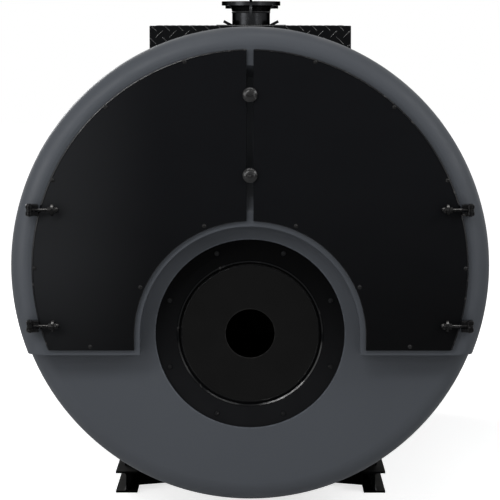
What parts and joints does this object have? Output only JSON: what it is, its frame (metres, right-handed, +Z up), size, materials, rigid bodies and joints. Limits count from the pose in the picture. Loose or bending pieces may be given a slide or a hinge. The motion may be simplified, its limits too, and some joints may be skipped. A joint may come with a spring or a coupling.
{
  "type": "industrial fire-tube boiler",
  "caption": "Large horizontal fire-tube boiler with two hinged front doors arched over a round burner opening, a walkway deck, crest nozzles and beam rails.",
  "frame": {"origin": "on the floor under the middle of the whole length, on the plane of symmetry", "axes": "+Z up, -Y towards the front with the doors and burner opening, +X to the right seen from the front"},
  "size_m": [2.5, 5.181, 2.747],
  "materials": {
    "casing_paint": "satin dark grey paint",
    "door_paint": "satin black paint",
    "door_lining": "cast refractory",
    "burner_black": "satin black heat-proof paint",
    "deck_black": "black chequer plate",
    "fitting_black": "black bolts and brackets",
    "boiler_steel": "bare boiler plate",
    "frame_black": "black paint",
    "nozzle_grey": "dark grey primer"
  },
  "bodies": {
    "boiler": {"burner_plate": "burner_black", "burner_ring": "burner_black", "deck_flaps": "deck_black", "deck_opening_frame": "deck_black", "deck_panel_front": "deck_black", "deck_panel_rear": "deck_black", "deck_plate_front": "deck_black", "deck_plate_middle": "deck_black", "deck_plate_rear": "deck_black", "deck_skirts": "deck_black", "door_housing": "casing_paint", "drain_nozzle": "nozzle_grey", "flame_tube": "boiler_steel", "flow_nozzle": "nozzle_grey", "flue_box": "casing_paint", "flue_hatch_left": "door_paint", "flue_hatch_right": "door_paint", "flue_outlet": "nozzle_grey", "front_head": "casing_paint", "front_lifting_lug": "nozzle_grey", "front_saddles": "frame_black", "front_tube_plate": "boiler_steel", "inspection_cover": "door_paint", "jacket_front": "casing_paint", "jacket_middle": "casing_paint", "jacket_rear": "casing_paint", "left_lower_hinge_bracket": "fitting_black", "left_rail": "frame_black", "left_upper_hinge_bracket": "fitting_black", "rear_head": "casing_paint", "rear_lifting_lug": "nozzle_grey", "rear_saddles": "frame_black", "rear_tube_plate": "boiler_steel", "return_nozzle": "nozzle_grey", "right_lower_hinge_bracket": "fitting_black", "right_rail": "frame_black", "right_upper_hinge_bracket": "fitting_black", "safety_valve_nozzle": "nozzle_grey"},
    "left_door": {"left_door_cover": "door_paint", "left_door_core": "door_lining", "left_upper_hinge_arm": "fitting_black", "left_lower_hinge_arm": "fitting_black", "upper_clamp_knob": "fitting_black", "lower_clamp_knob": "fitting_black"},
    "right_door": {"right_door_cover": "door_paint", "right_door_core": "door_lining", "right_upper_hinge_arm": "fitting_black", "right_lower_hinge_arm": "fitting_black"}
  },
  "joints": [
    {"name": "left_door_hinge", "type": "hinge", "parent": "boiler", "child": "left_door", "pos_m": [-1.14, -2.5605, 1.341], "axis": [0, 0, 1], "range_deg": [-110, 0]},
    {"name": "right_door_hinge", "type": "hinge", "parent": "boiler", "child": "right_door", "pos_m": [1.14, -2.5605, 1.341], "axis": [0, 0, 1], "range_deg": [0, 110]}
  ],
  "couplings": [
    {"joint": "right_door_hinge", "follows": "left_door_hinge", "ratio": -1}
  ]
}
